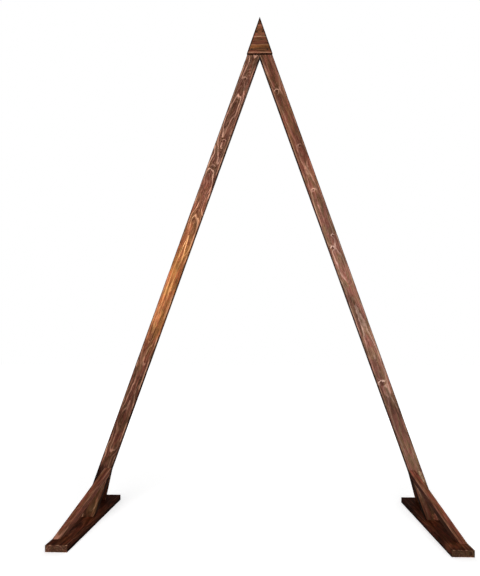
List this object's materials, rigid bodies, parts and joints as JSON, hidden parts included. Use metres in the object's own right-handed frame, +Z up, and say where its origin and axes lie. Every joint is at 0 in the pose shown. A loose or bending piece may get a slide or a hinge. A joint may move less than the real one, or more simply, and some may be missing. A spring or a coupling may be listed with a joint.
{
  "type": "triangle arch stand",
  "caption": "Tall free-standing triangle arch in stained softwood: leaning legs meet under a cap plate and stand on long base boards with slanted braces.",
  "frame": {"origin": "on the floor, under the tip of the arch and in the middle of the front-to-back depth", "axes": "+X to the right along the arch's width, +Y to the back and +Z up; the cap plate is on the front, -Y, face"},
  "size_m": [1.73, 0.6, 2.4],
  "materials": {
    "leg_wood": "reddish brown stain, satin",
    "cap_wood": "reddish brown stain, satin",
    "base_wood": "dark brown stain, satin",
    "brace_wood": "reddish brown stain, satin",
    "screw_steel": "black phosphate"
  },
  "bodies": {
    "root": {"cap_plate": "cap_wood", "left_leg": "leg_wood", "left_base_board": "base_wood", "left_front_brace": "brace_wood", "left_rear_brace": "brace_wood", "right_leg": "leg_wood", "right_base_board": "base_wood", "right_front_brace": "brace_wood", "right_rear_brace": "brace_wood", "cap_screw_lower_left": "screw_steel", "cap_screw_upper_left": "screw_steel", "cap_screw_lower_right": "screw_steel", "cap_screw_upper_right": "screw_steel", "left_leg_screw_inner": "screw_steel", "left_leg_screw_outer": "screw_steel", "right_leg_screw_inner": "screw_steel", "right_leg_screw_outer": "screw_steel", "left_front_brace_foot_screw": "screw_steel", "left_front_brace_top_screw": "screw_steel", "left_rear_brace_foot_screw": "screw_steel", "left_rear_brace_top_screw": "screw_steel", "right_front_brace_foot_screw": "screw_steel", "right_front_brace_top_screw": "screw_steel", "right_rear_brace_foot_screw": "screw_steel", "right_rear_brace_top_screw": "screw_steel"}
  },
  "joints": []
}
